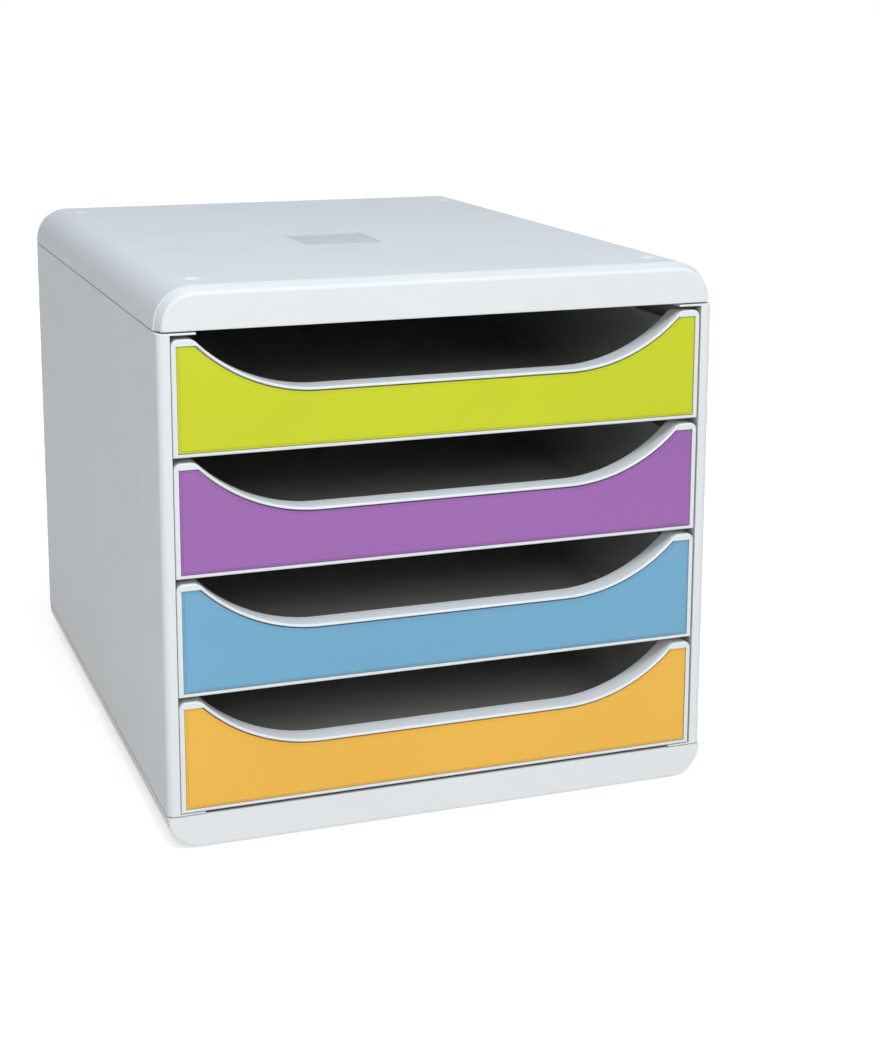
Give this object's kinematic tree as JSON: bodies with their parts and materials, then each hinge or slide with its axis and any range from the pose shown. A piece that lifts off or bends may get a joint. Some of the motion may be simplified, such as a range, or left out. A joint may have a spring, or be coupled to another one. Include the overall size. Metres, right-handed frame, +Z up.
{
  "type": "desktop drawer unit",
  "caption": "Desktop drawer unit: light grey moulded casing with stacked sliding drawers, each with a coloured front insert and a wide hand cut-out.",
  "frame": {"origin": "centre of the footprint, on the surface that the feet stand on", "axes": "+Z up, -Y towards the drawer fronts, +X to the right seen from the front"},
  "size_m": [0.278, 0.347, 0.267],
  "materials": {
    "casing_grey": "fine moulded grain, satin",
    "drawer_grey": "smooth moulded, satin",
    "insert_green": "smooth satin",
    "insert_purple": "smooth satin",
    "insert_blue": "smooth satin",
    "insert_orange": "smooth satin",
    "foot_rubber": "soft matt"
  },
  "bodies": {
    "casing": {"top_cover": "casing_grey", "base_tray": "casing_grey", "left_side_panel": "casing_grey", "right_side_panel": "casing_grey", "back_panel": "casing_grey", "foot_front_left": "foot_rubber", "foot_front_right": "foot_rubber", "foot_rear_left": "foot_rubber", "foot_rear_right": "foot_rubber"},
    "drawer_1": {"drawer_tray_1": "drawer_grey", "front_insert_green": "insert_green"},
    "drawer_2": {"drawer_tray_2": "drawer_grey", "front_insert_purple": "insert_purple"},
    "drawer_3": {"drawer_tray_3": "drawer_grey", "front_insert_blue": "insert_blue"},
    "drawer_4": {"drawer_tray_4": "drawer_grey", "front_insert_orange": "insert_orange"}
  },
  "joints": [
    {"name": "drawer_1_slide", "type": "slide", "parent": "casing", "child": "drawer_1", "axis": [0, -1, 0], "range_m": [0, 0.225]},
    {"name": "drawer_2_slide", "type": "slide", "parent": "casing", "child": "drawer_2", "axis": [0, -1, 0], "range_m": [0, 0.225]},
    {"name": "drawer_3_slide", "type": "slide", "parent": "casing", "child": "drawer_3", "axis": [0, -1, 0], "range_m": [0, 0.225]},
    {"name": "drawer_4_slide", "type": "slide", "parent": "casing", "child": "drawer_4", "axis": [0, -1, 0], "range_m": [0, 0.225]}
  ]
}
